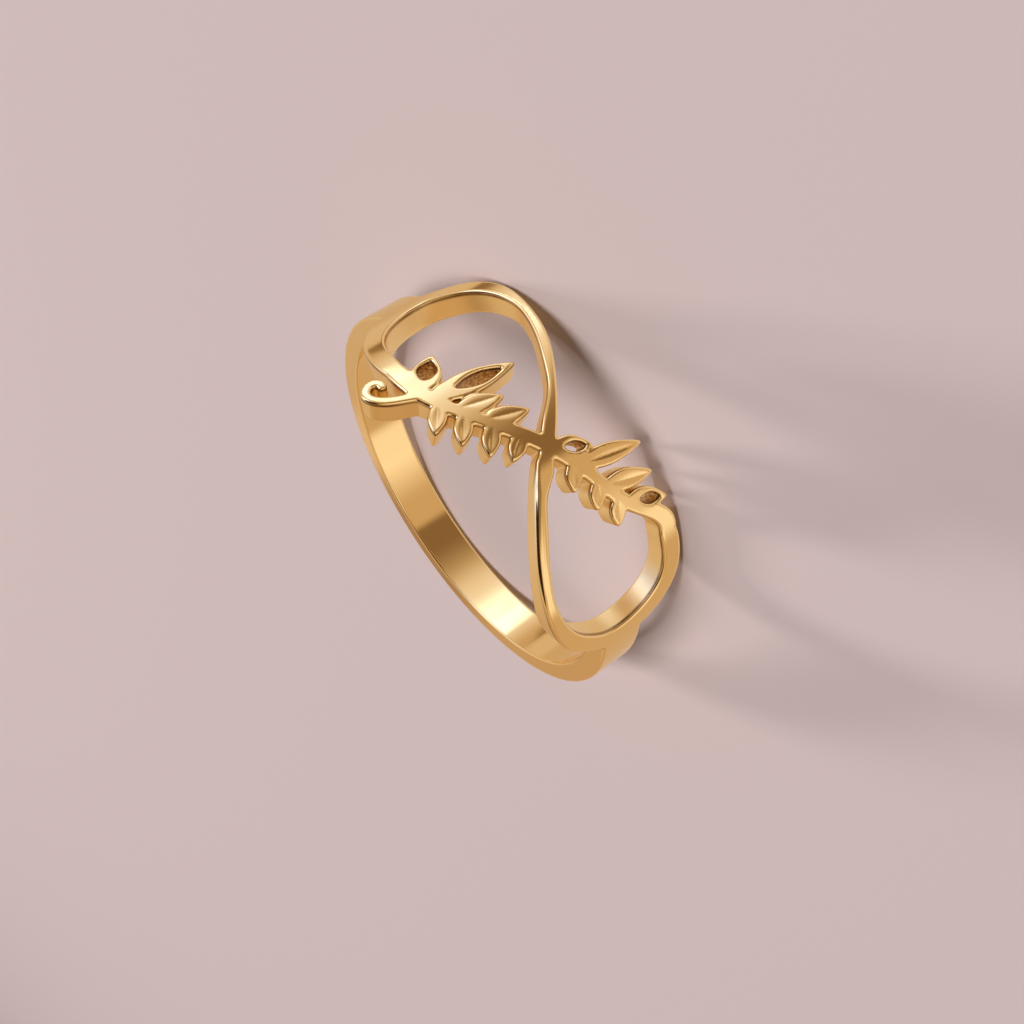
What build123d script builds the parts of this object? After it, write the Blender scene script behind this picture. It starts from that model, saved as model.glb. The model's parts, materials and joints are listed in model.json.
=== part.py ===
from build123d import *
import os
from math import atan2, cos, degrees, hypot, radians, sin, tan

# A finger ring whose face is an openwork figure of eight. One diagonal of the
# figure is a plain strand, the other a leafy branch with a curled tendril.
# It is cast in one piece, and it lies on its side on the edges of its two lobes
# and the edge of its band.

# Driving dimensions, in millimetres
bore_radius = 8.65          # inside of the band, where the finger goes
face_thickness = 1.15       # metal at the middle of the face
back_thickness = 0.95       # metal at the back of the band
band_width = 2.07           # along the finger
face_reach = 10.30          # arc from the middle of the face to a lobe's far end
lobe_reach = 3.24           # middle of the strand, from the band's middle plane
strand_width = 0.90         # the strand beside the branch
stem_width = 0.58
leaf_length = 3.95          # the longest leaf
leaf_width = 1.40           # the widest leaf
leaf_rim = 0.28             # metal left around a leaf's opening
tendril_width = 0.42
tendril_reach = 4.78        # lowest stretch of the tendril, from the middle plane

# Worked out from them
outer_radius = bore_radius + (face_thickness + back_thickness) / 2
outer_shift = (face_thickness - back_thickness) / 2
face_radius = bore_radius + face_thickness
band_end = 0.972 * face_reach   # arc where the band runs into a lobe's end
side_margin = 2.0

# The strand from the branch's left end round the left lobe to the crossing,
# and by a half turn on to the right: arc as a share of face_reach, offset as a
# share of lobe_reach, width as a share of strand_width
STRAND = [
    # along, across, width
    (-0.570, -0.948, 0.80),
    (-0.650, -0.950, 0.98),
    (-0.735, -0.930, 1.00),
    (-0.830, -0.846, 1.03),
    (-0.912, -0.676, 1.14),
    (-0.970, -0.430, 1.32),
    (-1.000, -0.020, 1.36),
    (-0.972, 0.330, 0.96),
    (-0.920, 0.570, 0.84),
    (-0.848, 0.790, 0.80),
    (-0.762, 0.922, 0.73),
    (-0.676, 0.990, 0.68),
    (-0.582, 1.006, 0.62),
    (-0.487, 0.954, 0.59),
    (-0.378, 0.832, 0.54),
    (-0.267, 0.656, 0.49),
    (-0.163, 0.458, 0.48),
    (-0.068, 0.190, 0.72),
]

# The branch's stem, from one end of the strand to the other, in the same shares
# with the width as a share of stem_width
STEM = [
    # along, across, width
    (-0.610, -0.950, 1.50),
    (-0.500, -0.958, 1.46),
    (-0.405, -0.915, 1.20),
    (-0.310, -0.780, 1.05),
    (-0.195, -0.545, 1.00),
    (-0.062, -0.230, 1.15),
    (0.062, 0.020, 1.15),
    (0.205, 0.240, 1.00),
    (0.340, 0.425, 1.00),
    (0.430, 0.640, 1.15),
    (0.505, 0.872, 1.36),
    (0.620, 0.950, 1.50),
]

# The leaves: arc of the foot as a share of face_reach, degrees from the face's
# long direction, length and width as shares of leaf_length and leaf_width
LEAVES = [
    # foot, turn, length, width, pierced
    (-0.455, 128, 0.52, 1.00, True),
    (-0.400, 81, 1.00, 0.84, True),
    (-0.296, 75, 0.54, 0.66, False),
    (-0.198, 72, 0.51, 0.64, False),
    (0.036, 64, 0.46, 0.72, True),
    (0.146, 78, 0.79, 0.68, False),
    (0.276, 75, 0.60, 0.65, False),
    (0.386, 66, 0.50, 0.76, True),
    (-0.360, -43, 0.38, 0.58, False),
    (-0.266, -40, 0.37, 0.58, False),
    (-0.170, -40, 0.37, 0.58, False),
    (-0.072, -54, 0.32, 0.56, False),
    (0.125, -28, 0.33, 0.55, False),
    (0.240, -28, 0.33, 0.55, False),
    (0.345, -24, 0.33, 0.55, False),
]

# Half width of a leaf, and of its opening, along its length
LEAF_SHAPE = [
    # along, half width
    (0.00, 0.34),
    (0.24, 0.88),
    (0.46, 1.00),
    (0.76, 0.64),
    (1.00, 0.05),
]
OPENING_SHAPE = [
    # along, half width
    (0.00, 0.14),
    (0.28, 0.84),
    (0.52, 1.00),
    (0.78, 0.68),
    (1.00, 0.10),
]

# A leaf's opening starts and ends at these shares of the leaf's length
opening_start_share = 0.30
opening_end_share = 0.84

# The tendril: arc as a share of face_reach, offset as a share of tendril_reach,
# width as a share of tendril_width
TENDRIL = [
    # along, across, width
    (-0.440, -0.665, 1.20),
    (-0.466, -0.800, 1.00),
    (-0.503, -0.930, 1.00),
    (-0.553, -1.000, 1.00),
    (-0.600, -0.965, 1.05),
    (-0.613, -0.880, 1.05),
    (-0.586, -0.832, 0.95),
    (-0.560, -0.866, 0.85),
]


def scaled(table, across):
    """A table's arcs and offsets in millimetres, with its width shares."""
    return [(along * face_reach, offset * across, width) for along, offset, width in table]


half_strand = [(s, y, width * strand_width) for s, y, width in scaled(STRAND, lobe_reach)]
strand_line = half_strand + [(-s, -y, width) for s, y, width in reversed(half_strand)]
stem_line = [(s, y, width * stem_width) for s, y, width in scaled(STEM, lobe_reach)]
tendril_line = [(s, y, width * tendril_width) for s, y, width in scaled(TENDRIL, tendril_reach)]


def headings(line):
    """Unit direction of a line of rows at each of its points."""
    found = []
    for i in range(len(line)):
        before, after = line[max(i - 1, 0)], line[min(i + 1, len(line) - 1)]
        step_s, step_y = after[0] - before[0], after[1] - before[1]
        size = hypot(step_s, step_y)
        found.append((step_s / size, step_y / size))
    return found


def edges_of(line):
    """The two edges of a strand of changing width, both in the line's order."""
    left, right = [], []
    for (s, y, width), (go_s, go_y) in zip(line, headings(line)):
        left.append((s - go_y * width / 2, y + go_s * width / 2))
        right.append((s + go_y * width / 2, y - go_s * width / 2))
    return left, right


def stem_offset(s):
    """Offset of the stem's middle at an arc on the face."""
    for (s0, y0, _), (s1, y1, _) in zip(stem_line, stem_line[1:]):
        if s0 <= s <= s1:
            return y0 + (y1 - y0) * (s - s0) / (s1 - s0)
    raise ValueError("a leaf's foot lies past the stem's end")


def leaf_edges(shape, foot, angle, length, width):
    """The two edges of a leaf, from its foot to its tip."""
    sides = []
    for side in (1, -1):
        sides.append([
            (foot[0] + cos(angle) * along * length - sin(angle) * side * half * width / 2,
             foot[1] + sin(angle) * along * length + cos(angle) * side * half * width / 2)
            for along, half in shape
        ])
    return sides


leaves, openings = [], []
for foot, turn, length_share, width_share, pierced in LEAVES:
    s, angle = foot * face_reach, radians(turn)
    length, width = length_share * leaf_length, width_share * leaf_width
    leaves.append(leaf_edges(LEAF_SHAPE, (s, stem_offset(s)), angle, length, width))
    if pierced:
        start = opening_start_share * length
        opening_foot = (s + cos(angle) * start, stem_offset(s) + sin(angle) * start)
        opening_length = (opening_end_share - opening_start_share) * length
        openings.append(
            leaf_edges(OPENING_SHAPE, opening_foot, angle, opening_length, width - 2 * leaf_rim)
        )


# The lying ring: its finger hole leans back, because the lobes are wider than
# the band, and it touches the floor with both lobes and the back of the band
outline = [
    (s, y) for left, right in [edges_of(strand_line), *leaves] for s, y in left + right
]
back_radius = outer_radius - outer_shift
lean = max(
    atan2(y - band_width / 2, bore_radius * cos(s / face_radius) + back_radius) for s, y in outline
)
rest_height = band_width / 2 * cos(lean) + back_radius * sin(lean)
front_reach = max(face_radius * cos(s / face_radius) * cos(lean) + y * sin(lean) for s, y in outline)
back_reach = back_radius * cos(lean) + band_width / 2 * sin(lean)
hoop = Plane(
    origin=(0, (front_reach - back_reach) / 2, rest_height),
    x_dir=(-1, 0, 0),
    z_dir=(0, sin(lean), cos(lean)),
)

with BuildSketch(hoop) as shell:
    with Locations((0, outer_shift)):
        Circle(outer_radius)
    Circle(bore_radius, mode=Mode.SUBTRACT)


def face_plane(height):
    """A flat plane over the face, at a height from the finger hole's middle line."""
    return Plane(origin=hoop.origin + hoop.y_dir * height, x_dir=hoop.x_dir, z_dir=hoop.y_dir)


def wedge(left, right, mode=Mode.ADD):
    """A solid between two edges on the face, with walls that run to the finger's middle line."""
    widest = max(abs(s) for s, y in left + right) / face_radius
    inner_height = bore_radius * cos(widest) * 0.9
    outer_height = face_radius * 1.05
    sections = []
    for height in (inner_height, outer_height):
        with BuildSketch(face_plane(height)) as section:
            with BuildLine():
                first = [(height * tan(s / face_radius), y) for s, y in left]
                second = [(height * tan(s / face_radius), y) for s, y in right]
                Spline(*first)
                Line(first[-1], second[-1])
                Spline(*reversed(second))
                Line(second[0], first[0])
            make_face()
        sections.append(section.sketch.face())
    loft(sections, ruled=True, mode=mode)


with BuildPart() as band:
    with BuildSketch(hoop):
        add(shell.sketch_local)
        far = 3 * outer_radius
        end_x, end_y = far * sin(band_end / face_radius), far * cos(band_end / face_radius)
        with BuildLine():
            Polyline((0, 0), (end_x, end_y), (-end_x, end_y), close=True)
        make_face(mode=Mode.SUBTRACT)
    extrude(amount=band_width / 2, both=True)

with BuildPart() as face:
    wedge(*edges_of(strand_line))
    wedge(*edges_of(stem_line))
    wedge(*edges_of(tendril_line))
    for edges in leaves:
        wedge(*edges)
    for edges in openings:
        wedge(*edges, mode=Mode.SUBTRACT)
    extrude(shell.sketch, amount=tendril_reach + side_margin, both=True, mode=Mode.INTERSECT)

with BuildPart() as ring:
    add(face.part)
    add(band.part)
ring.part.label = "ring"

os.makedirs("parts", exist_ok=True)
export_step(ring.part, "parts/ring.step")
print(f"The finger hole leans {degrees(lean):.3f} degrees, with its middle at {hoop.origin}")
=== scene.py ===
import json
import math

import bpy
import numpy as np
from mathutils import Matrix, Vector
from mathutils.bvhtree import BVHTree


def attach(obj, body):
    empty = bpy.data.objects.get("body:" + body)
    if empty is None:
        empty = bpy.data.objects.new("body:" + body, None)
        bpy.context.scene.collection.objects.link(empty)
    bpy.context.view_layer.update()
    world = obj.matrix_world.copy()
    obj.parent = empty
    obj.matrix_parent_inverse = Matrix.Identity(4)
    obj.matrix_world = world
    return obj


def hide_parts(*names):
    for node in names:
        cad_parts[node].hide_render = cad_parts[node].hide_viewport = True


bl_info = {
    "name": "Openwork Ring",
    "version": (1, 0, 0),
    "blender": (4, 5, 0),
    "location": "3D View > Sidebar > Ring",
    "description": "Builds a polished gold ring with an openwork face on its packed frame",
    "category": "Add Mesh",
}

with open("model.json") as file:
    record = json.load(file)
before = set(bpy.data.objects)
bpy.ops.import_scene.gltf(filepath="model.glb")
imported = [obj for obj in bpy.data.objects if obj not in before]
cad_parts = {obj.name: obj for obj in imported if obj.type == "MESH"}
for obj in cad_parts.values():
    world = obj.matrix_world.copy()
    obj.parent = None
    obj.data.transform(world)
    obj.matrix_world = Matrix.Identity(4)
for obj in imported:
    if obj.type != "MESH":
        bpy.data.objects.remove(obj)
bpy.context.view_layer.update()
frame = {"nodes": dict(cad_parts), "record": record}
node = frame["nodes"]["ring"]
bore = frame["record"]["mounts"][0]

MM = 1000.0  # millimetres in a metre

# How the frame's outline is read, in millimetres
WELD = 0.0005          # vertices closer than this are one
GRID_CELL = 0.04       # of the grids over the unrolled plane
GRID_REACH = 0.7       # furthest distance from the outline that they hold
POCKET_ROUND = 8.0     # a loop shorter than this goes round a small opening
LEAST_FACING = 0.7     # share, of 1, by which the outer surface's triangles face out
CORNER = 42.0          # degrees, over which a line's turn stays sharp

# The corners of a square of grid points, in order round it
SQUARE = ((0, 0), (1, 0), (1, 1), (0, 1))


# The ring's own axes: x along the face, y down the finger hole, z out through
# the face. Sizes in these functions are in millimetres.


def ring_axes():
    """The middle of the finger hole and the ring's three axes, in the row frame."""
    middle = np.array(bore["pos_m"]) * MM
    down_hole = -np.array(bore["axis"])
    down_hole /= np.linalg.norm(down_hole)
    across = np.array([-1.0, 0.0, 0.0])
    out = np.cross(across, down_hole)
    return middle, across, down_hole, out


def to_ring(points):
    """Row frame points, in millimetres, as x, y and z on the ring's own axes."""
    middle, across, down_hole, out = ring_axes()
    offset = points - middle
    return np.stack([offset @ across, offset @ down_hole, offset @ out], axis=1)


def to_row(points):
    """Points on the ring's own axes as row frame points, in millimetres."""
    middle, across, down_hole, out = ring_axes()
    return middle + points @ np.stack([across, down_hole, out])


# The outline of the metal, unrolled: s is arc on the outside, y down the hole


def frame_mesh():
    """The frame's welded vertices on the ring's axes, and its triangles."""
    mesh = node.data
    mesh.calc_loop_triangles()
    points = np.empty(len(mesh.vertices) * 3)
    mesh.vertices.foreach_get("co", points)
    triangles = np.empty(len(mesh.loop_triangles) * 3, np.int32)
    mesh.loop_triangles.foreach_get("vertices", triangles)
    points = to_ring(points.reshape(-1, 3) * MM)
    keys = np.round(points / WELD).astype(np.int64)
    _, first, welded = np.unique(keys, axis=0, return_index=True, return_inverse=True)
    triangles = welded.reshape(-1)[triangles].reshape(-1, 3)
    distinct = (
        (triangles[:, 0] != triangles[:, 1])
        & (triangles[:, 1] != triangles[:, 2])
        & (triangles[:, 2] != triangles[:, 0])
    )
    return points[first], triangles[distinct]


def outline_loops(points, triangles):
    """The closed lines round the frame's outer surface, as arrays of vertex numbers."""
    a, b, c = (points[triangles[:, i]] for i in range(3))
    normal = np.cross(b - a, c - a)
    outward = (a + b + c) / 3
    outward[:, 1] = 0
    facing = np.sum(normal * outward, axis=1) / (
        np.linalg.norm(normal, axis=1) * np.linalg.norm(outward, axis=1) + 1e-12
    )
    outer = triangles[facing > LEAST_FACING]
    edges = np.concatenate([outer[:, [0, 1]], outer[:, [1, 2]], outer[:, [2, 0]]])
    known = {(int(i), int(j)) for i, j in edges}
    after = {}
    for i, j in known:
        if (j, i) not in known:
            after.setdefault(i, []).append(j)
    loops = []
    while after:
        start = min(after)
        loop, here = [], start
        while here in after:
            loop.append(here)
            choices = after[here]
            step = choices.pop()
            if not choices:
                del after[here]
            here = step
        if len(loop) > 3:
            loops.append(np.array(loop))
    return loops


def smooth_loop(line, period, pieces=6):
    """A closed line with a curve through its points, kept sharp at its corners.

    period is how far s moves on in one turn of the line, and pieces is the number
    of steps between two of its points.
    """
    count = len(line)
    shift = np.array([period, 0.0])

    def point(i):
        return line[i % count] + shift * (i // count)

    tangents, sharp = [], []
    for i in range(count):
        before, after = point(i) - point(i - 1), point(i + 1) - point(i)
        len_before, len_after = np.hypot(*before), np.hypot(*after)
        turn = math.atan2(before[0] * after[1] - before[1] * after[0], float(before @ after))
        sharp.append(abs(math.degrees(turn)) > CORNER)
        tangents.append(
            (before / len_before * len_after + after / len_after * len_before)
            / (len_before + len_after)
        )
    found = []
    for i in range(count):
        start, end = point(i), point(i + 1)
        chord = end - start
        length = np.hypot(*chord)
        go_in = chord if sharp[i] else tangents[i] * length
        go_out = chord if sharp[(i + 1) % count] else tangents[(i + 1) % count] * length
        for k in range(pieces):
            t = k / pieces
            found.append(
                (2 * t**3 - 3 * t**2 + 1) * start
                + (t**3 - 2 * t**2 + t) * go_in
                + (3 * t**2 - 2 * t**3) * end
                + (t**3 - t**2) * go_out
            )
    return np.array(found)


def unrolled_outline(points, loops, radius, overlap=2.0):
    """Every loop as segments of s and y, and which of them go round a small opening.

    What lies less than the overlap from either end of the plane is there twice.
    """
    turn = 2 * math.pi * radius
    segments, small = [], []
    for loop in loops:
        x, y, z = points[loop].T
        angle = np.arctan2(x, z)
        step = np.diff(np.append(angle, angle[0]))
        step = (step + math.pi) % (2 * math.pi) - math.pi
        s = radius * (angle[0] + np.concatenate([[0.0], np.cumsum(step[:-1])]))
        line = np.stack([s, y], axis=1)
        period = radius * step.sum()
        curve = smooth_loop(line, period)
        following = np.roll(curve, -1, axis=0)
        following[-1, 0] += period
        segments.append(np.stack([curve, following], axis=1))
        round_it = np.hypot(*(following - curve).T).sum()
        small.append(np.full(len(curve), round_it < POCKET_ROUND))
    segments, small = np.concatenate(segments), np.concatenate(small)
    middle = segments[:, :, 0].mean(axis=1)
    segments[:, :, 0] -= (np.round(middle / turn) * turn)[:, None]
    copies, kinds = [segments], [small]
    for side in (-1, 1):
        beyond = side * segments[:, :, 0].mean(axis=1) < -turn / 2 + overlap
        near = segments[beyond].copy()
        near[:, :, 0] += side * turn
        copies.append(near)
        kinds.append(small[beyond])
    return np.concatenate(copies), np.concatenate(kinds)


FACE_REACH = 10.30     # arc from the middle of the face to a lobe's far end
LOBE_REACH = 3.24      # middle of the strand, from the band's middle plane
LEAF_LENGTH = 3.95     # the longest leaf

# The strand and the stem as they lie on the unrolled face: arc as a share of
# FACE_REACH, offset as a share of LOBE_REACH. The strand runs from the branch's
# left end round the left lobe to the crossing, and by a half turn on to the right
STRAND = [
    # along, across
    (-0.570, -0.948), (-0.650, -0.950), (-0.735, -0.930), (-0.830, -0.846), (-0.912, -0.676),
    (-0.970, -0.430), (-1.000, -0.020), (-0.972, 0.330), (-0.920, 0.570), (-0.848, 0.790),
    (-0.762, 0.922), (-0.676, 0.990), (-0.582, 1.006), (-0.487, 0.954), (-0.378, 0.832),
    (-0.267, 0.656), (-0.163, 0.458), (-0.068, 0.190),
]
STEM = [
    # along, across
    (-0.610, -0.950), (-0.500, -0.958), (-0.405, -0.915), (-0.310, -0.780), (-0.195, -0.545),
    (-0.062, -0.230), (0.062, 0.020), (0.205, 0.240), (0.340, 0.425), (0.430, 0.640),
    (0.505, 0.872), (0.620, 0.950),
]
# Where a leaf's groove starts and how far it runs, as shares of the leaf's length
GROOVE_START, GROOVE_RUN = 0.12, 0.78
# The whole leaves, with a groove down the middle of each: arc of the foot as a
# share of FACE_REACH, degrees from the face's long direction, length as a share
# of LEAF_LENGTH
RIBS = [
    # foot, turn, length
    (-0.296, 75, 0.54), (-0.198, 72, 0.51), (0.146, 78, 0.79), (0.276, 75, 0.60),
    (-0.360, -43, 0.38), (-0.266, -40, 0.37), (-0.170, -40, 0.37), (-0.072, -54, 0.32),
    (0.125, -28, 0.33), (0.240, -28, 0.33), (0.345, -24, 0.33),
]


def on_face(route):
    """A route's points in millimetres."""
    return [(along * FACE_REACH, across * LOBE_REACH) for along, across in route]


def off_line(s, y, line):
    """Distance from points to a line of points."""
    nearest = np.full(s.shape, 1e9)
    for (s0, y0), (s1, y1) in zip(line, line[1:]):
        length = math.hypot(s1 - s0, y1 - y0)
        go_s, go_y = (s1 - s0) / length, (y1 - y0) / length
        along = np.clip((s - s0) * go_s + (y - y0) * go_y, 0, length)
        nearest = np.minimum(nearest, np.hypot(s - s0 - along * go_s, y - y0 - along * go_y))
    return nearest


def eased(value):
    """0 below 0, 1 above 1, and a smooth step between."""
    value = np.clip(value, 0, 1)
    return value * value * (3 - 2 * value)


def rising(value, start, over):
    """0 up to the start, 1 from so far over it on, and a smooth step between."""
    return eased((value - start) / over)


def near_strand(s, y, clear, run_in):
    """1 along the strand from the crossing to the right lobe, and 0 away from it.

    It stays 0 up to a clear distance from the stem's middle, and runs in from there.
    """
    half = on_face(STRAND)
    strand = half + [(-a, -b) for a, b in reversed(half)]
    along_strand = 1 - rising(off_line(s, y, strand), 0.45, over=0.5)
    clear_of_stem = rising(off_line(s, y, on_face(STEM)), clear, run_in)
    right_lobe = (s > 0) * (1 - rising(s, 4.0, over=3.5)) * rising(-y, -0.4, over=0.8)
    return along_strand * clear_of_stem * right_lobe


def swollen_strand(s, y):
    """1 where the near strand is wider and thinner than the frame's."""
    return near_strand(s, y, clear=0.3, run_in=0.6)


def rounded_strand(s, y):
    """1 where the near strand's outer edges are well rounded."""
    return near_strand(s, y, clear=1.0, run_in=1.0)


def lobe_shoulder(s, y):
    """1 on the outer side of the left lobe's strand, where it turns in to the crossing."""
    turning_in = on_face(STRAND)[-7:]
    middle = np.interp(s, [a for a, _ in turning_in], [b for _, b in turning_in])
    stretch = rising(s, -6.3, over=2.6) * (1 - rising(s, -3.4, over=2.4))
    return stretch * rising(y - middle, -0.25, over=0.6)


def groove_depth(s, y, shape):
    """Depth of the leaves' grooves, which are crisp in the middle and run out at both ends."""
    stem = on_face(STEM)
    depth = np.zeros(s.shape)
    for foot, turn, share in RIBS:
        foot_s, length, angle = foot * FACE_REACH, share * LEAF_LENGTH, math.radians(turn)
        foot_y = float(np.interp(foot_s, [a for a, _ in stem], [b for _, b in stem]))
        go_s, go_y = math.cos(angle), math.sin(angle)
        along = ((s - foot_s) * go_s + (y - foot_y) * go_y) / length
        off = np.abs((y - foot_y) * go_s - (s - foot_s) * go_y)
        part = np.clip((along - GROOVE_START) / GROOVE_RUN, 0, 1)
        swell = 4 * part * (1 - part)
        across = np.clip(1 - off / (shape.groove_reach * MM * swell + 1e-6), 0, 1)
        depth = np.maximum(depth, shape.groove_depth * MM * swell * across**2)
    return depth


class Outline:
    """Grids over the unrolled plane.

    They hold the distance to the metal's outline (negative inside the metal), the
    edge's radius, the grooves' depth, how much the metal is thinned from the
    finger's side, and 1 where the nearest edge is a small opening's.
    """

    def __init__(self, segments, small, radius, shape, margin=0.4):
        self.turn = 2 * math.pi * radius
        self.columns = int(round(self.turn / GRID_CELL))
        self.cell_s = self.turn / self.columns
        self.cell_y = GRID_CELL
        low = segments[:, :, 1].min() - 3 * GRID_CELL
        high = segments[:, :, 1].max() + 3 * GRID_CELL
        self.low_y = low - margin
        self.rows = int(math.ceil((high + margin - self.low_y) / GRID_CELL)) + 1
        s = -self.turn / 2 + self.cell_s * np.arange(self.columns)
        y = self.low_y + GRID_CELL * np.arange(self.rows)
        wall, pocket = self._distance(segments, small, s, y)
        wall = self._blurred(wall, shape.joint_blend * MM)
        around, down = np.meshgrid(s, y, indexing="ij")
        swollen = swollen_strand(around, down)
        wall -= shape.strand_swell * MM * (swollen + lobe_shoulder(around, down))
        rounder = (shape.strand_edge - shape.outer_edge) * rounded_strand(around, down)
        edge = MM * (shape.outer_edge + rounder)
        grooves = groove_depth(around, down, shape)
        thinned = shape.strand_thinning * MM * swollen
        self.grid = np.stack([wall, edge, grooves, thinned, pocket], axis=2)

    def _distance(self, segments, small, s, y):
        """Signed distance at each grid point, by columns and rows, and the small openings' mask."""
        corners, faces = [], []
        for (s0, y0), (s1, y1) in segments:
            base = len(corners)
            corners += [(s0, y0, -1), (s1, y1, -1), (s1, y1, 1), (s0, y0, 1)]
            faces.append((base, base + 1, base + 2, base + 3))
        tree = BVHTree.FromPolygons(corners, faces)
        found, pocket = np.full((len(s), len(y)), GRID_REACH), np.zeros((len(s), len(y)))
        start, end = segments[:, 0], segments[:, 1]
        for i, at in enumerate(s):
            for j, over in enumerate(y):
                _, _, nearest, distance = tree.find_nearest((at, over, 0), GRID_REACH)
                if nearest is not None:
                    found[i, j], pocket[i, j] = distance, small[nearest]
            crossed = (start[:, 0] <= at) != (end[:, 0] <= at)
            from_point, to_point = start[crossed], end[crossed]
            share = (at - from_point[:, 0]) / (to_point[:, 0] - from_point[:, 0])
            heights = np.sort(from_point[:, 1] + share * (to_point[:, 1] - from_point[:, 1]))
            inside = np.searchsorted(heights, y) % 2 == 1
            found[i, inside] *= -1
        return found, pocket

    def _blurred(self, grid, blend):
        """The grid with its corners rounded."""
        for axis, cell in ((0, self.cell_s), (1, self.cell_y)):
            reach = int(math.ceil(3 * blend / cell))
            offsets = np.arange(-reach, reach + 1)
            weights = np.exp(-((offsets * cell / blend) ** 2) / 2)
            weights /= weights.sum()
            if axis == 0:
                padded = np.concatenate([grid[-reach:], grid, grid[:reach]])
            else:
                padded = np.pad(grid, ((0, 0), (reach, reach)), mode="edge")
            grid = sum(
                w * np.take(padded, np.arange(grid.shape[axis]) + k, axis=axis)
                for k, w in enumerate(weights)
            )
        return grid

    def at(self, s, y):
        """The grids' values at points, with a smooth cubic between grid points."""
        u = (s + self.turn / 2) / self.cell_s
        v = np.clip((y - self.low_y) / self.cell_y, 1, self.rows - 3)
        i, j = np.floor(u).astype(int), np.floor(v).astype(int)
        weights_u, weights_v = cubic_weights(u - i), cubic_weights(v - j)
        total = np.zeros((len(s), self.grid.shape[2]))
        for a in range(4):
            for b in range(4):
                weight = weights_u[a] * weights_v[b]
                total += weight[:, None] * self.grid[(i + a - 1) % self.columns, j + b - 1]
        return total


def cubic_weights(t):
    """Weights of the four grid points round a place t of the way between the middle two.

    They are a cubic B-spline's, so slopes stay smooth.
    """
    return (
        (1 - t) ** 3 / 6,
        (3 * t**3 - 6 * t**2 + 4) / 6,
        (-3 * t**3 + 3 * t**2 + 3 * t + 1) / 6,
        t**3 / 6,
    )


def rounded_overlap(a, b, radius):
    """Distance to what two shapes share, with the edge between them rounded."""
    over_a, over_b = np.maximum(a + radius, 0), np.maximum(b + radius, 0)
    return np.minimum(np.maximum(a, b), -radius) + np.hypot(over_a, over_b)


class Metal:
    """The ring as a distance field over arc, height down the hole and radius."""

    def __init__(self, outline, outer, swing, inner, inner_edge):
        self.outline = outline
        self.outer, self.swing, self.inner = outer, swing, inner
        self.inner_edge = inner_edge

    def outside(self, angle):
        """Radius of the outer surface, which is thicker at the face."""
        return self.outer + self.swing * np.cos(angle)

    def field(self, s, y, r):
        """Distance to the metal's surface, negative inside."""
        return self.over(self.outline.at(s, y).T, s, r)

    def over(self, grids, s, r):
        """The same, from the outline's grids at the points."""
        wall, edge, groove, thinned, _ = grids
        angle = s * 2 * math.pi / self.outline.turn
        shape = rounded_overlap(wall, r - self.outside(angle) + groove, edge)
        return rounded_overlap(shape, self.inner + thinned - r, self.inner_edge)

    def slope(self, s, y, r, step=0.004):
        """Unit direction out of the metal, as parts along s, y and r, and the field's steepness."""
        scale = r * 2 * math.pi / self.outline.turn
        along = (self.field(s + step, y, r) - self.field(s - step, y, r)) / scale
        down = self.field(s, y + step, r) - self.field(s, y - step, r)
        out = self.field(s, y, r + step) - self.field(s, y, r - step)
        size = np.sqrt(along**2 + down**2 + out**2)
        size[size < 1e-12] = 1
        return along / size, down / size, out / size, size / (2 * step)


def untangled(values, rounds=8):
    """Grid values without squares whose corners are inside and outside crosswise.

    Two surfaces would share an edge there.
    """
    values = values.copy()
    for _ in range(rounds):
        changed = 0
        for first, second in ((0, 1), (0, 2), (1, 2)):
            signs = [
                np.roll(np.roll(values, -a, axis=first), -b, axis=second) < 0 for a, b in SQUARE
            ]
            crossed = (signs[0] == signs[2]) & (signs[1] == signs[3]) & (signs[0] != signs[1])
            for i, j, k in np.argwhere(crossed):
                places = []
                for a, b in SQUARE:
                    place = [i, j, k]
                    place[first] = (place[first] + a) % values.shape[first]
                    place[second] = (place[second] + b) % values.shape[second]
                    places.append(tuple(place))
                nearest = min(places, key=lambda place: abs(values[place]))
                values[nearest] = -values[nearest] if values[nearest] else 1e-6
                changed += 1
        if not changed:
            return values
    raise RuntimeError("the metal's grid can't be untangled")


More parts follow.
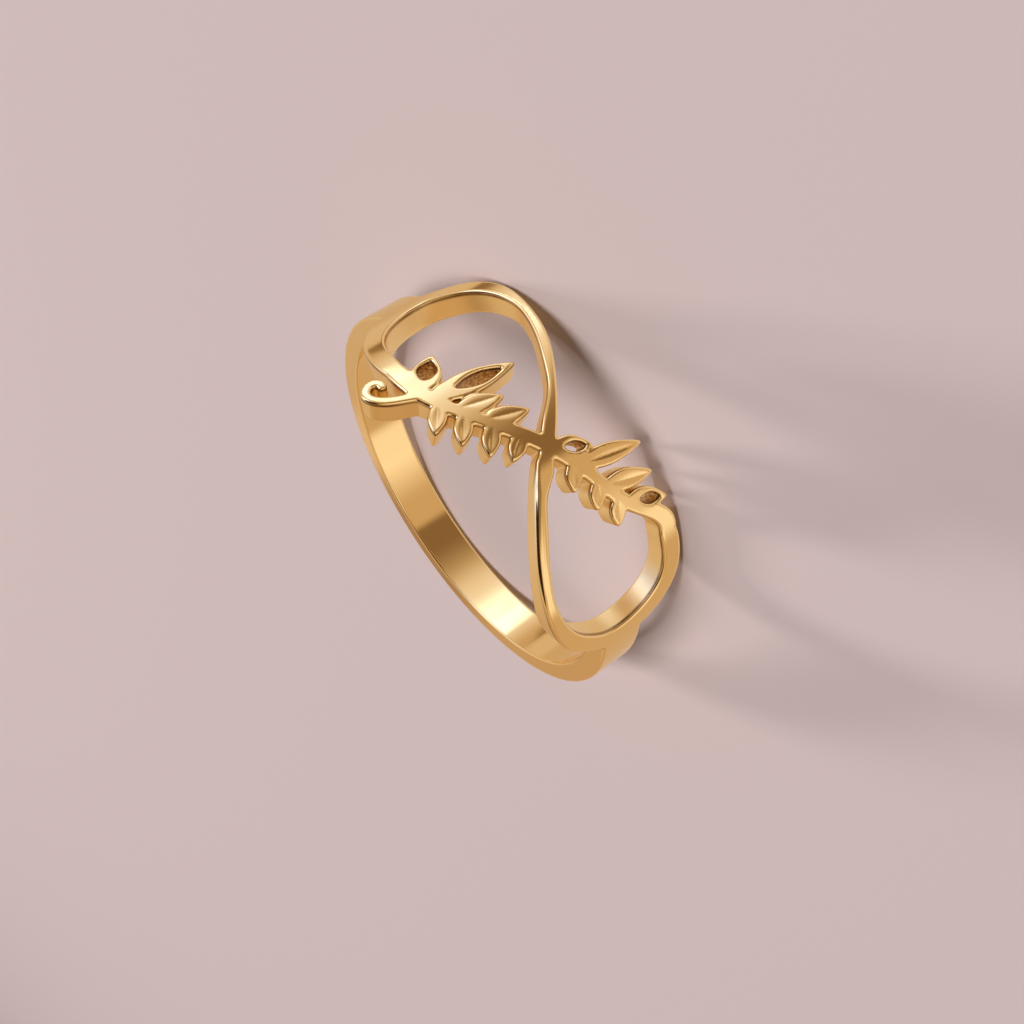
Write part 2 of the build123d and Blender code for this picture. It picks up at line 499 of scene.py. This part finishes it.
def surface_net(metal, cell, band_cell):
    """Points (s, y, r) on the metal's surface, and the four-cornered faces between them."""
    outline = metal.outline
    # short steps over the face and a little beyond, and longer ones round the plain band
    half_face, half_turn = FACE_REACH + 1.2, outline.turn / 2
    on_band = np.linspace(half_face, half_turn, int((half_turn - half_face) / band_cell))
    over_face = np.linspace(-half_face, half_face, int(2 * half_face / cell))
    s_ends = np.concatenate([-on_band[::-1], over_face[1:-1], on_band])
    s, count_s = s_ends[:-1], len(s_ends) - 1
    count_y = int(math.ceil((outline.rows - 6) * outline.cell_y / cell))
    y = outline.low_y + 3 * outline.cell_y + cell * np.arange(count_y)
    # the grid starts and ends in the air; no layer of it lies on the round hole itself
    low_r = metal.inner - 2.37 * cell
    count_r = int(math.ceil((metal.outer + metal.swing - low_r) / cell)) + 4
    r = low_r + cell * np.arange(count_r)
    layers = outline.at(*(g.ravel() for g in np.meshgrid(s, y, indexing="ij")))
    grids = [layer.reshape(count_s, count_y, 1) for layer in layers.T]
    values = untangled(metal.over(grids, s[:, None, None], r[None, None, :]))
    inside = values < 0
    # a cell has its low corner at (i, j, k), and cells go round in s
    corners = [(a, b, c) for a in (0, 1) for b in (0, 1) for c in (0, 1)]

    def corner(grid, offset):
        a, b, c = offset
        moved = np.roll(grid, -a, axis=0)
        return moved[:, b : count_y - 1 + b, c : count_r - 1 + c]

    held = sum(corner(inside, o).astype(np.int8) for o in corners)
    cells = np.argwhere((held > 0) & (held < 8))
    number = np.full(held.shape, -1, np.int64)
    number[tuple(cells.T)] = np.arange(len(cells))
    total, crossings = np.zeros((len(cells), 3)), np.zeros(len(cells))
    value = {
        (a, b, c): values[(cells[:, 0] + a) % count_s, cells[:, 1] + b, cells[:, 2] + c]
        for a, b, c in corners
    }
    for start in corners:
        for axis in range(3):
            if start[axis]:
                continue
            end = tuple(1 if n == axis else start[n] for n in range(3))
            first, second = value[start], value[end]
            crosses = (first < 0) != (second < 0)
            share = np.where(crosses, first / np.where(crosses, first - second, 1), 0)
            place = np.array(start, float) + np.eye(3)[axis] * share[:, None]
            total += place * crosses[:, None]
            crossings += crosses
    place = cells + total / crossings[:, None]
    along = np.interp(place[:, 0], np.arange(count_s + 1), s_ends)
    points = np.stack([along, y[0] + cell * place[:, 1], r[0] + cell * place[:, 2]], axis=1)
    faces = []
    for axis in range(3):
        other = [n for n in range(3) if n != axis]
        # going round in y or r joins air to air, so it adds no faces
        ahead = np.roll(inside, -1, axis=axis)
        edges = np.argwhere(inside != ahead)
        entering = ahead[tuple(edges.T)]
        quad = []
        for back in SQUARE:
            at = edges.copy()
            at[:, other] -= back
            at[:, 0] %= count_s
            quad.append(number[tuple(at.T)])
        quad = np.stack(quad, axis=1)
        # the square of y's neighbours, s and r, runs round the other way
        if axis == 1:
            entering = ~entering
        quad[entering] = quad[entering][:, ::-1]
        faces.append(quad)
    return points, np.concatenate(faces)


def settle(metal, points, rounds=3, furthest=0.05):
    """Moves points onto the metal's surface, and gives the surface's direction there."""
    s, y, r = points.T.copy()
    for _ in range(rounds):
        along, down, out, size = metal.slope(s, y, r)
        off = np.clip(metal.field(s, y, r) / size, -furthest, furthest)
        scale = r * 2 * math.pi / metal.outline.turn
        s, y, r = s - off * along / scale, y - off * down, r - off * out
    along, down, out, _ = metal.slope(s, y, r)
    return np.stack([s, y, r], axis=1), np.stack([along, down, out], axis=1)


def rolled(points, directions, turn):
    """Unrolled points and directions put back round the finger hole, on the ring's axes."""
    angle = points[:, 0] * 2 * math.pi / turn
    sine, cosine = np.sin(angle), np.cos(angle)
    r = points[:, 2]
    places = np.stack([r * sine, points[:, 1], r * cosine], axis=1)
    along, down, out = directions.T
    facing = np.stack([along * cosine + out * sine, down, out * cosine - along * sine], axis=1)
    return places, facing


def mesh_piece(name, points, facing, faces):
    """An object with a smooth mesh of four-cornered faces, from row frame millimetres."""
    mesh = bpy.data.meshes.new(name)
    mesh.vertices.add(len(points))
    mesh.vertices.foreach_set("co", (points / MM).astype(np.float32).ravel())
    mesh.loops.add(faces.size)
    mesh.loops.foreach_set("vertex_index", faces.astype(np.int32).ravel())
    mesh.polygons.add(len(faces))
    mesh.polygons.foreach_set("loop_start", np.arange(0, faces.size, 4, dtype=np.int32))
    mesh.polygons.foreach_set("use_smooth", np.ones(len(faces), bool))
    mesh.update(calc_edges=True)
    mesh.validate()
    mesh.normals_split_custom_set_from_vertices(facing)
    piece = bpy.data.objects.new(name, mesh)
    bpy.context.scene.collection.objects.link(piece)
    return piece


def give_mask(piece, name, values):
    """Puts a number on each of a piece's vertices, for its material."""
    layer = piece.data.attributes.new(name, "FLOAT", "POINT")
    layer.data.foreach_set("value", values.astype(np.float32))


def finish_and_shade_masks(metal, places, directions):
    """The numbers that the gold's finish and its line of painted shade follow, by name, at unrolled
    places.
    """
    s, y, r = places.T
    _, edge, _, _, pocket = metal.outline.at(s, y).T
    # the openwork's finish ends just past the lobes, and a wall hardly faces out or in
    openwork = 1 - rising(np.abs(s), FACE_REACH + 0.1, over=0.5)
    wall = 1 - rising(np.abs(directions[:, 2]), 0.2, over=0.35)
    below = r - metal.outside(s * 2 * math.pi / metal.outline.turn)
    return {
        "wall": wall * openwork,
        "pocket": np.clip(pocket, 0, 1) * wall,
        # height over the line where a rounded edge runs into its wall
        "under_edge": below + edge,
        # where the line of painted shade goes: every edge of the openwork but the near strand's
        # well rounded ones
        "shade_line_mask": openwork * (1 - rounded_strand(s, y)),
    }


def small_length(name, description, millimetres):
    """A setting that holds a small length."""
    return bpy.props.FloatProperty(
        name=name, description=description, default=millimetres / MM,
        min=0, soft_max=0.001, precision=6, unit="LENGTH",
    )


def plain_colour(name, description, default):
    """A setting that holds a colour."""
    return bpy.props.FloatVectorProperty(
        name=name, description=description, default=default, subtype="COLOR", size=3, min=0, max=1
    )


class RingShapeSettings(bpy.types.PropertyGroup):
    """Sizes of the polished edges and of the mesh."""

    outer_edge: small_length("Outer edge", "Radius of the polished edge round the outside", 0.12)
    strand_edge: small_length(
        "Strand edge",
        "Radius of the near strand's outer edges, from the crossing to the right lobe",
        0.28,
    )
    strand_swell: small_length(
        "Strand swell",
        "How far the near strand's sides, and the left lobe's shoulder, stand out over the frame's",
        0.12,
    )
    strand_thinning: small_length(
        "Strand thinning", "How much thinner the near strand is on the finger's side", 0.2
    )
    inner_edge: small_length("Inner edge", "Radius of the edge towards the finger", 0.09)
    joint_blend: small_length(
        "Joint blend", "How softly strands, stem and leaves run together", 0.055
    )
    groove_reach: small_length(
        "Groove reach", "How far a leaf's groove reaches to either side of its middle", 0.28
    )
    groove_depth: small_length("Groove depth", "Depth of the groove down each leaf", 0.04)
    cell: small_length("Cell", "Size of the mesh's faces over the openwork", 0.066)
    band_cell: small_length("Band cell", "Length of the mesh's faces round the plain band", 0.2)


class RING_OT_metal(bpy.types.Operator):
    """Builds the polished metal over the frame's ring"""

    bl_idname = "ring.metal"
    bl_label = "Build metal"

    def execute(self, context):
        shape = context.scene.ring_shape
        points, triangles = frame_mesh()
        loops = outline_loops(points, triangles)
        rim = points[np.concatenate(loops)]
        columns = np.stack([np.ones(len(rim)), np.cos(np.arctan2(rim[:, 0], rim[:, 2]))], axis=1)
        outer, swing = np.linalg.lstsq(columns, np.hypot(rim[:, 0], rim[:, 2]), rcond=None)[0]
        inner = bore["dims"]["r_mm"]
        segments, small = unrolled_outline(points, loops, outer)
        outline = Outline(segments, small, outer, shape)
        metal = Metal(outline, outer, swing, inner, shape.inner_edge * MM)
        found, faces = surface_net(metal, shape.cell * MM, shape.band_cell * MM)
        found, directions = settle(metal, found)
        places, facing = rolled(found, directions, outline.turn)
        _, across, down_hole, out = ring_axes()
        piece = mesh_piece(
            "ring_metal", to_row(places), facing @ np.stack([across, down_hole, out]), faces
        )
        for name, values in finish_and_shade_masks(metal, found, directions).items():
            give_mask(piece, name, values)
        piece.data.materials.append(gold_material(context.scene.ring_gold))
        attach(piece, "root")
        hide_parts("ring")
        return {"FINISHED"}


class RingGoldSettings(bpy.types.PropertyGroup):
    """The polished gold, with a line of painted shade under its edges."""

    gold: plain_colour("Gold", "Colour of the polished gold", (0.96, 0.72, 0.33))
    # painted shade: a dark colour painted along the crease where a rounded edge runs into its wall
    line: plain_colour(
        "Line", "Colour of the line between an edge and its wall", (0.12, 0.04, 0.004)
    )
    grain_dark: plain_colour(
        "Dark grain", "Darkest colour of the casting grain in the small openings",
        (0.42, 0.19, 0.045),
    )
    grain_light: plain_colour(
        "Light grain", "Lightest colour of the casting grain in the small openings",
        (1.0, 0.76, 0.38),
    )
    roughness: bpy.props.FloatProperty(
        name="Roughness", description="Roughness of the polish",
        default=0.08, min=0, max=1, subtype="FACTOR",
    )
    satin: bpy.props.FloatProperty(
        name="Satin", description="Roughness of the openwork's walls",
        default=0.36, min=0, max=1, subtype="FACTOR",
    )
    grain_roughness: bpy.props.FloatProperty(
        name="Grain roughness", description="Roughness of the casting grain",
        default=0.45, min=0, max=1, subtype="FACTOR",
    )
    # how strong the painted shade line is, where its middle lies and how far it reaches
    shade_line_strength: bpy.props.FloatProperty(
        name="Line strength", description="How dark the line between an edge and its wall is",
        default=0.9, min=0, max=1, subtype="FACTOR",
    )
    shade_line_drop: small_length(
        "Line drop", "How far below the end of a rounded edge the line has its middle", 0.04
    )
    shade_line_reach: small_length(
        "Line reach", "How far the line fades out to either side of its middle", 0.115
    )
    wave_height: small_length("Wave height", "Height of the polish's faint waves", 0.0048)
    grain_height: small_length("Grain height", "Height of the casting grain", 0.02)


class RingStageSettings(bpy.types.PropertyGroup):
    """Floor, lights and camera."""

    floor: plain_colour("Floor", "Colour of the floor", (0.560, 0.457, 0.452))
    light: plain_colour("Light", "Colour of both lights", (1.0, 0.97, 0.95))
    fill_light: plain_colour(
        "Fill light", "Colour of the even light from all round", (1.0, 0.97, 0.955)
    )
    camera_spot: bpy.props.FloatVectorProperty(
        name="Camera spot", description="Place of the camera on the ring's own axes",
        subtype="XYZ_LENGTH", size=3, default=(0.002845, -0.022637, 0.060796),
    )
    camera_aim: bpy.props.FloatVectorProperty(
        name="Camera aim", description="Point that the camera looks at on the ring's own axes",
        subtype="XYZ_LENGTH", size=3, default=(0.001389, 0.000691, 0.0),
    )
    camera_side: bpy.props.FloatVectorProperty(
        name="Camera side",
        description="Direction of the picture's right side on the ring's own axes",
        subtype="DIRECTION", size=3, default=(0.55793, 0.77919, 0.28562),
    )
    lens: bpy.props.FloatProperty(
        name="Lens", description="Focal length of the camera",
        default=49.22, min=10, max=200, unit="CAMERA",
    )
    low_power: bpy.props.FloatProperty(
        name="Low light", description="Power of the low light that throws the long shadows",
        default=11.0, min=0, unit="POWER",
    )
    high_power: bpy.props.FloatProperty(
        name="High light", description="Power of the wide light overhead",
        default=5.6, min=0, unit="POWER",
    )
    fill: bpy.props.FloatProperty(
        name="Fill", description="Strength of the even light from all round", default=0.12, min=0,
    )


class Board:
    """Adds and joins the nodes of one shader tree."""

    def __init__(self, tree):
        self.nodes, self.links = tree.nodes, tree.links

    def feed(self, socket, value):
        """Gives a socket a plain value, or joins another node's output to it."""
        if isinstance(value, bpy.types.NodeSocket):
            self.links.new(value, socket)
        else:
            socket.default_value = value

    def add(self, kind, **inputs):
        """A node of a kind, with some of its inputs given by name (a space written as _)."""
        node = self.nodes.new(kind)
        for name, value in inputs.items():
            self.feed(node.inputs[name.replace("_", " ")], value)
        return node

    def math(self, operation, *inputs):
        """The result of a Math node."""
        node = self.nodes.new("ShaderNodeMath")
        node.operation = operation
        for socket, value in zip(node.inputs, inputs):
            self.feed(socket, value)
        return node.outputs[0]

    def noise(self, place, scale, detail):
        """A noise over a place, which uses the whole range from 0 to 1."""
        noise = self.add("ShaderNodeTexNoise", Vector=place, Scale=scale, Detail=detail)
        low, high = 0.32, 0.68  # nearly all of a plain noise lies between these
        spread = self.add(
            "ShaderNodeMapRange", Value=noise.outputs[0], From_Min=low, From_Max=high
        )
        return spread.outputs["Result"]

    def between(self, share, first, second):
        """A number that goes from first to second as share goes from 0 to 1."""
        node = self.add("ShaderNodeMapRange", Value=share, To_Min=first, To_Max=second)
        return node.outputs["Result"]

    def fade(self, distance, width):
        """1 up to no distance, 0 beyond a width, and a smooth step between."""
        node = self.add(
            "ShaderNodeMapRange", Value=distance, From_Max=width, To_Min=1.0, To_Max=0.0
        )
        node.interpolation_type = "SMOOTHSTEP"
        return node.outputs["Result"]

    def mixed(self, share, first, second):
        """A colour between two."""
        node = self.nodes.new("ShaderNodeMix")
        node.data_type = "RGBA"
        node.clamp_result = False
        for name, value in (("Factor", share), ("A", first), ("B", second)):
            self.feed(node.inputs[name], value)
        return node.outputs["Result"]

    def mask(self, name):
        """A number that a piece carries on its vertices."""
        node = self.nodes.new("ShaderNodeAttribute")
        node.attribute_name = name
        return node.outputs["Fac"]


def gold_material(settings):
    """Polished gold, with satin walls, a line of painted shade under edges and grain in small
    openings.
    """
    material = bpy.data.materials.new("polished_gold")
    material.use_nodes = True
    board = Board(material.node_tree)
    shader = material.node_tree.nodes["Principled BSDF"]
    shader.inputs["Metallic"].default_value = 1
    wall, pocket = board.mask("wall"), board.mask("pocket")
    place = board.nodes.new("ShaderNodeTexCoord").outputs["Object"]
    grain = board.noise(place, scale=7500.0, detail=3.0)
    haze = board.noise(place, scale=900.0, detail=4.0)
    swells = board.noise(place, scale=420.0, detail=1.0)

    # the line of painted shade in the crease under each rounded edge, broken by the haze; its mask
    # is in millimetres
    off_middle = board.math("ADD", board.mask("under_edge"), settings.shade_line_drop * MM)
    line = board.fade(board.math("ABSOLUTE", off_middle), settings.shade_line_reach * MM)
    line = board.math("MULTIPLY", line, board.mask("shade_line_mask"))
    faint, strong = 0.65 * settings.shade_line_strength, 1.1 * settings.shade_line_strength
    dark = board.math("MULTIPLY", line, board.between(haze, faint, strong))
    casting = board.mixed(grain, (*settings.grain_dark, 1), (*settings.grain_light, 1))
    metal = board.mixed(pocket, (*settings.gold, 1), casting)
    # the painted shade darkens the base colour along that line
    board.feed(shader.inputs["Base Color"], board.mixed(dark, metal, (*settings.line, 1)))

    polish = board.between(haze, settings.roughness - 0.01, settings.roughness + 0.02)
    satin = board.between(wall, polish, settings.satin)
    board.feed(shader.inputs["Roughness"], board.between(pocket, satin, settings.grain_roughness))

    waves = board.add("ShaderNodeBump", Distance=settings.wave_height, Height=swells)
    pits = board.add(
        "ShaderNodeBump", Distance=settings.grain_height,
        Height=board.math("MULTIPLY", grain, pocket), Normal=waves.outputs[0],
    )
    board.feed(shader.inputs["Normal"], pits.outputs[0])
    return material


PANEL_INPUTS = (
    "Azimuth", "Height", "Middle", "Left", "Right", "Left fade", "Right fade",
    "Bottom", "Top", "Bottom fade", "Top fade",
)
# Soft panels round the studio: middle, left, right, left fade, right fade,
# bottom, top, bottom fade and top fade in degrees (azimuth from +Y towards +X),
# and the colour that the metal mirrors. Between them it mirrors STUDIO_WALL
STUDIO_WALL = (0.638, 0.455, 0.313)
PANELS = [
    # under the ring
    (0, 180, 180, 1, 1, -90, -42, 1, 16, (0.755, 0.62, 0.56)),
    # right wall, a little cooler, and left wall
    (90, 66, 80, 40, 20, -6, 90, 12, 1, (0.684, 0.545, 0.43)),
    (-54, 66, 46, 20, 30, -2, 90, 14, 1, (0.582, 0.385, 0.238)),
    # brighter stretch of the left wall
    (-100, 16, 14, 20, 30, 28, 90, 10, 1, (0.72, 0.50, 0.32)),
    # small reflector low on the right
    (64, 5, 5, 9, 8, -27, -12, 4, 8, (0.725, 0.563, 0.466)),
    # brighter stretch of the right wall
    (30, 44, 56, 12, 20, 19, 90, 6, 1, (0.76, 0.60, 0.46)),
    # dark cloth on the camera's side, and a bright wall on its left
    (174, 14, 8, 12, 14, 4, 60, 6, 6, (0.30, 0.20, 0.11)),
    (-131, 18, 6, 22, 10, 8, 46, 10, 10, (1.0, 0.86, 0.80)),
    # right softbox: its wide upper part with two hot stretches, and its soft
    # lower side with two more
    (88, 26, 24, 44, 22, 32, 60, 12, 14, (0.96, 0.96, 1.38)),
    (102, 9, 8, 14, 18, 26, 42, 10, 6, (1.75, 1.95, 3.0)),
    (99, 24, 30, 6, 10, 47, 57, 4, 1, (1.12, 1.4, 2.7)),
    (118, 14, 4, 26, 37, -26, -8, 22, 10, (1.0, 0.94, 1.08)),
    (106, 9, 4, 4, 22, -17, -12, 3, 5, (1.6, 2.1, 2.6)),
    (117, 5, 5, 7, 8, -27, -17, 4, 4, (1.3, 1.3, 1.7)),
    # left softbox: its soft side and its middle
    (-119, 4, 6, 36, 12, -15, 20, 9, 12, (1.14, 0.986, 0.948)),
    (-115, 7, 3, 8, 13, -26, -4, 5, 10, (1.04, 0.92, 0.883)),
    # dark card towards the camera's side, and a narrow one low on the right
    (177, 5, 7, 33, 6, -26, 0, 4, 10, (0.255, 0.155, 0.088)),
    (76, 1, 3, 2, 8, -30, -21.6, 3, 0.8, (0.28, 0.17, 0.10)),
    # spots behind the ring, which its back edge mirrors
    (2, 1.5, 1.5, 3, 3, 5, 9.2, 3, 1.5, (0.40, 0.25, 0.15)),
    (7, 0.6, 0.6, 1.2, 1.2, 6, 9.2, 2, 1, (0.80, 0.60, 0.45)),
    # dark ceiling, which comes lower on the camera's side
    (0, 180, 180, 1, 1, 65, 90, 6, 1, (0.03, 0.015, 0.006)),
    (112, 50, 44, 10, 14, 58, 90, 2, 1, (0.03, 0.015, 0.006)),
    (152, 3, 6, 6, 12, 45, 90, 4, 1, (0.03, 0.015, 0.006)),
]


def panel_group():
    """Mask of a soft panel in the studio's dome, by azimuth and height in degrees."""
    group = bpy.data.node_groups.new("studio_panel", "ShaderNodeTree")
    for name in PANEL_INPUTS:
        group.interface.new_socket(name, in_out="INPUT", socket_type="NodeSocketFloat")
    group.interface.new_socket("Mask", in_out="OUTPUT", socket_type="NodeSocketFloat")
    board = Board(group)
    given = board.nodes.new("NodeGroupInput").outputs
    offset = board.math("SUBTRACT", given["Azimuth"], given["Middle"])
    offset = board.math("WRAP", offset, 180, -180)
    past_left = board.math("SUBTRACT", board.math("MULTIPLY", offset, -1), given["Left"])
    past_right = board.math("SUBTRACT", offset, given["Right"])
    below = board.math("SUBTRACT", given["Bottom"], given["Height"])
    above = board.math("SUBTRACT", given["Height"], given["Top"])
    left = board.fade(past_left, given["Left fade"])
    right = board.fade(past_right, given["Right fade"])
    bottom = board.fade(below, given["Bottom fade"])
    top = board.fade(above, given["Top fade"])
    sides, ends = board.math("MULTIPLY", left, right), board.math("MULTIPLY", bottom, top)
    result = board.nodes.new("NodeGroupOutput").inputs["Mask"]
    board.feed(result, board.math("MULTIPLY", sides, ends))
    return group


def studio_world(settings):
    """The studio all round: soft panels that only the metal mirrors, and a little even light."""
    world = bpy.data.worlds.new("studio")
    world.use_nodes = True
    board = Board(world.node_tree)
    board.nodes.clear()
    direction = board.nodes.new("ShaderNodeTexCoord").outputs["Generated"]
    parts = board.add("ShaderNodeSeparateXYZ", Vector=direction).outputs
    azimuth = board.math("DEGREES", board.math("ARCTAN2", parts["X"], parts["Y"]))
    height = board.math("DEGREES", board.math("ARCSINE", parts["Z"]))
    group = panel_group()
    shade = (*STUDIO_WALL, 1)
    for *limits, colour in PANELS:
        panel = board.nodes.new("ShaderNodeGroup")
        panel.node_tree = group
        for name, value in zip(PANEL_INPUTS, (azimuth, height, *limits)):
            board.feed(panel.inputs[name], value)
        shade = board.mixed(panel.outputs["Mask"], shade, (*colour, 1))
    mirrored = board.add("ShaderNodeBackground", Color=shade)
    even = board.add(
        "ShaderNodeBackground", Color=(*settings.fill_light, 1), Strength=settings.fill
    )
    in_metal = board.nodes.new("ShaderNodeLightPath").outputs["Is Glossy Ray"]
    choice = board.nodes.new("ShaderNodeMixShader")
    for socket, value in zip(choice.inputs, (in_metal, even.outputs[0], mirrored.outputs[0])):
        board.feed(socket, value)
    board.feed(board.nodes.new("ShaderNodeOutputWorld").inputs["Surface"], choice.outputs[0])
    return world


def floor_plane(shade, half=3.0):
    """A plain matt floor, which the metal doesn't mirror."""
    mesh = bpy.data.meshes.new("floor")
    corners = [(-half, -half, 0), (half, -half, 0), (half, half, 0), (-half, half, 0)]
    mesh.from_pydata(corners, [], [(0, 1, 2, 3)])
    material = bpy.data.materials.new("floor")
    material.use_nodes = True
    shader = material.node_tree.nodes["Principled BSDF"]
    shader.inputs["Base Color"].default_value = (*shade, 1)
    shader.inputs["Roughness"].default_value = 0.9
    shader.inputs["Specular IOR Level"].default_value = 0.1
    mesh.materials.append(material)
    floor = bpy.data.objects.new("floor", mesh)
    bpy.context.scene.collection.objects.link(floor)
    floor.visible_glossy = False


def lamp(name, power, shade, size, azimuth, height, distance):
    """A square light that faces the ring, from a side and a height in degrees."""
    light = bpy.data.lights.new(name, "AREA")
    light.energy = power
    light.size = size
    light.color = shade
    thing = bpy.data.objects.new(name, light)
    bpy.context.scene.collection.objects.link(thing)
    turn, rise = math.radians(azimuth), math.radians(height)
    level = math.cos(rise)
    towards = Vector((math.sin(turn) * level, math.cos(turn) * level, math.sin(rise)))
    thing.location = distance * towards
    thing.rotation_mode = "QUATERNION"
    thing.rotation_quaternion = (-towards).to_track_quat("-Z", "Y")
    thing.visible_glossy = False


def photo_camera(settings):
    """The camera at the photo's angle to the ring."""
    data = bpy.data.cameras.new("camera")
    data.lens = settings.lens
    data.sensor_width = 36
    data.clip_start, data.clip_end = 0.001, 20
    camera = bpy.data.objects.new("camera", data)
    bpy.context.scene.collection.objects.link(camera)
    spot, aim = (to_row(np.array(v) * MM) for v in (settings.camera_spot, settings.camera_aim))
    back = Vector(spot - aim).normalized()
    side = Vector(to_row(np.array(settings.camera_side)) - to_row(np.zeros(3)))
    up = back.cross(side).normalized()
    turned = Matrix((up.cross(back), up, back)).transposed().to_4x4()
    turned.translation = Vector(spot / MM)
    camera.matrix_world = turned
    bpy.context.scene.camera = camera


class RING_OT_stage(bpy.types.Operator):
    """Builds the floor, the lights and the camera"""

    bl_idname = "ring.stage"
    bl_label = "Build stage"

    def execute(self, context):
        settings = context.scene.ring_stage
        floor_plane(settings.floor)
        lamp(
            "low_light", settings.low_power, settings.light,
            size=0.17, azimuth=35, height=14, distance=1.2,
        )
        lamp(
            "high_light", settings.high_power, settings.light,
            size=0.45, azimuth=95, height=80, distance=0.8,
        )
        photo_camera(settings)
        context.scene.world = studio_world(settings)
        context.scene.view_settings.view_transform = "Standard"
        return {"FINISHED"}


class RING_PT_panel(bpy.types.Panel):
    """Lists the ring's settings and the steps that build it"""

    bl_idname = "RING_PT_panel"
    bl_label = "Openwork Ring"
    bl_space_type = "VIEW_3D"
    bl_region_type = "UI"
    bl_category = "Ring"

    def draw(self, context):
        scene = context.scene
        steps = (
            (("ring_shape", "ring_gold"), "ring.metal"),
            (("ring_stage",), "ring.stage"),
        )
        for groups, operator in steps:
            box = self.layout.box()
            for group in groups:
                settings = getattr(scene, group)
                for name in settings.__annotations__:
                    box.prop(settings, name)
            box.operator(operator)


CLASSES = (
    RingShapeSettings,
    RingGoldSettings,
    RingStageSettings,
    RING_OT_metal,
    RING_OT_stage,
    RING_PT_panel,
)


def register():
    for cls in CLASSES:
        bpy.utils.register_class(cls)
    bpy.types.Scene.ring_shape = bpy.props.PointerProperty(type=RingShapeSettings)
    bpy.types.Scene.ring_gold = bpy.props.PointerProperty(type=RingGoldSettings)
    bpy.types.Scene.ring_stage = bpy.props.PointerProperty(type=RingStageSettings)


def unregister():
    del bpy.types.Scene.ring_stage
    del bpy.types.Scene.ring_gold
    del bpy.types.Scene.ring_shape
    for cls in reversed(CLASSES):
        bpy.utils.unregister_class(cls)


def main():
    register()
    bpy.ops.ring.metal()
    bpy.ops.ring.stage()


if __name__ == "__main__":
    main()
